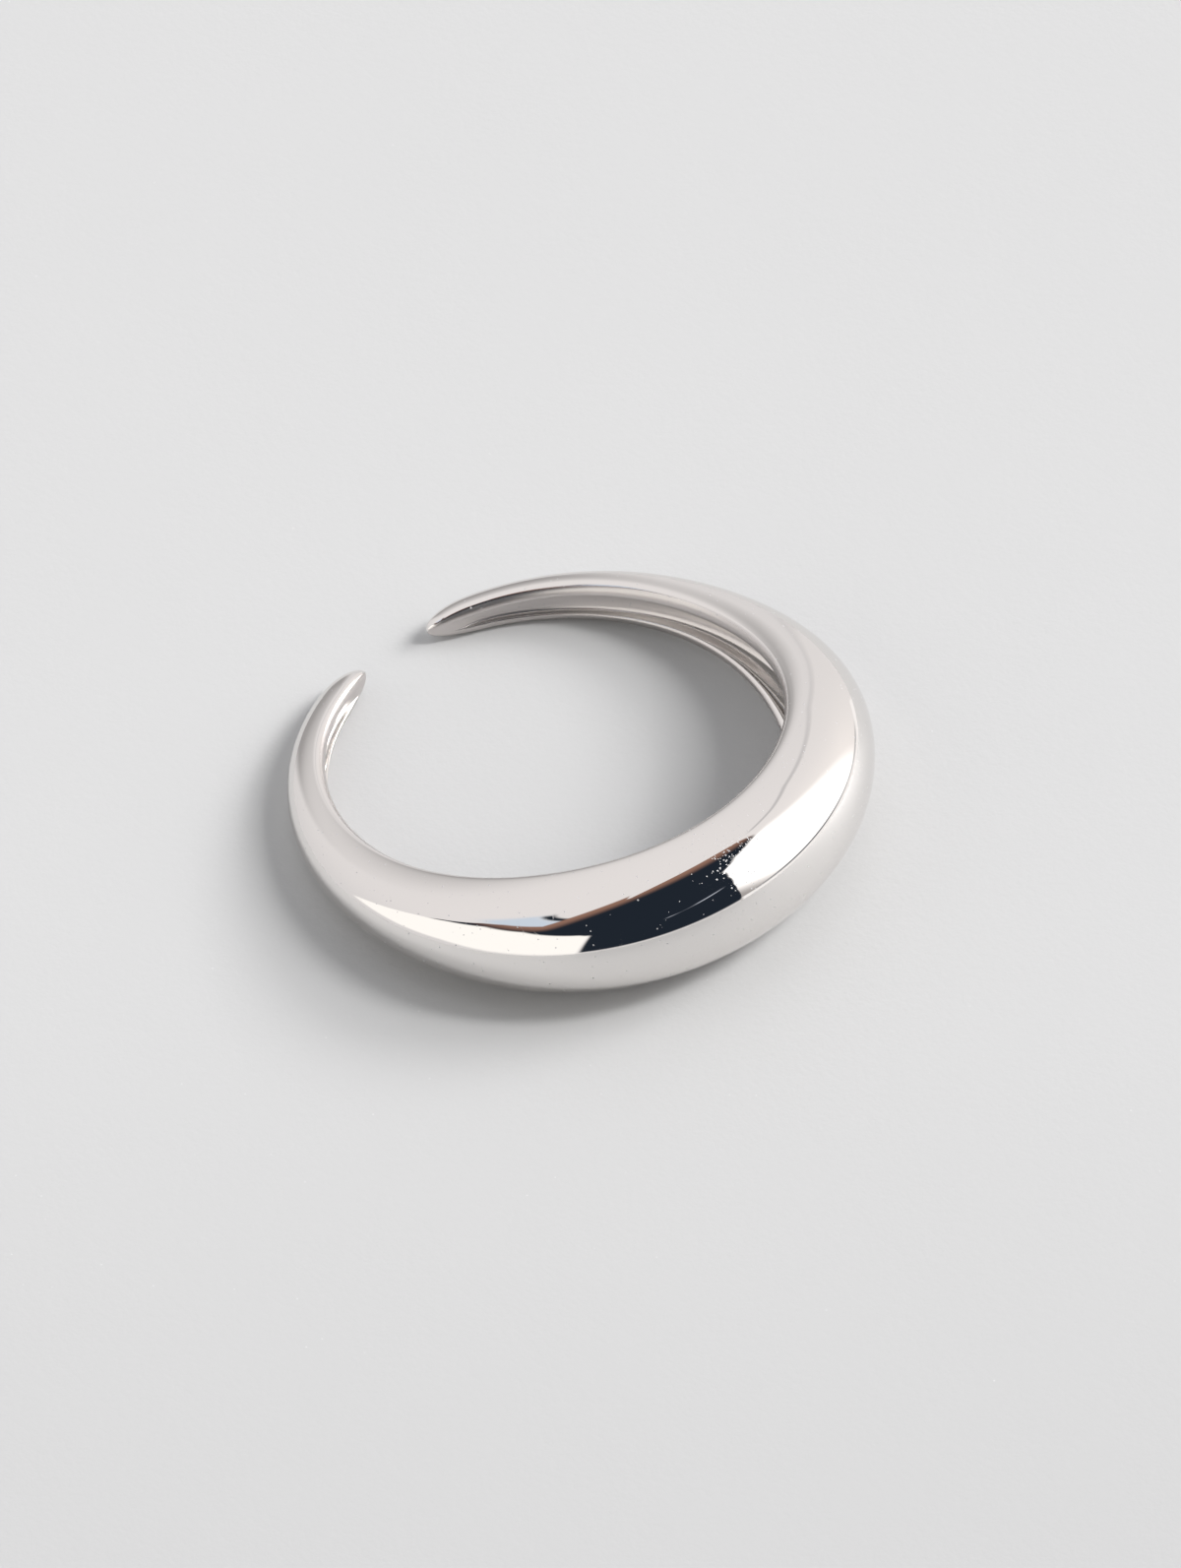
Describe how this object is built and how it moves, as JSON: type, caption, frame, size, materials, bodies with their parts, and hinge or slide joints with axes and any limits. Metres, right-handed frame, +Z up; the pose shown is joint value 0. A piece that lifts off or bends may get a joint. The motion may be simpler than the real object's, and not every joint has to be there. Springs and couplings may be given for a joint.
{
  "type": "dome ring",
  "caption": "Polished open dome ring: a high dome, hollow behind, narrows into thin arms whose rounded tips leave a gap, so it slides onto a finger and its fit can be adjusted a little.",
  "frame": {"origin": "middle of the footprint on the floor that the ring lies on", "axes": "+Z up, -Y from the finger hole towards the dome, +Y towards the gap between the tips, +X across the finger hole"},
  "size_m": [0.0216, 0.0208, 0.005],
  "materials": {
    "silver": "mirror polished silver"
  },
  "bodies": {
    "root": {"band": "silver"}
  },
  "joints": []
}
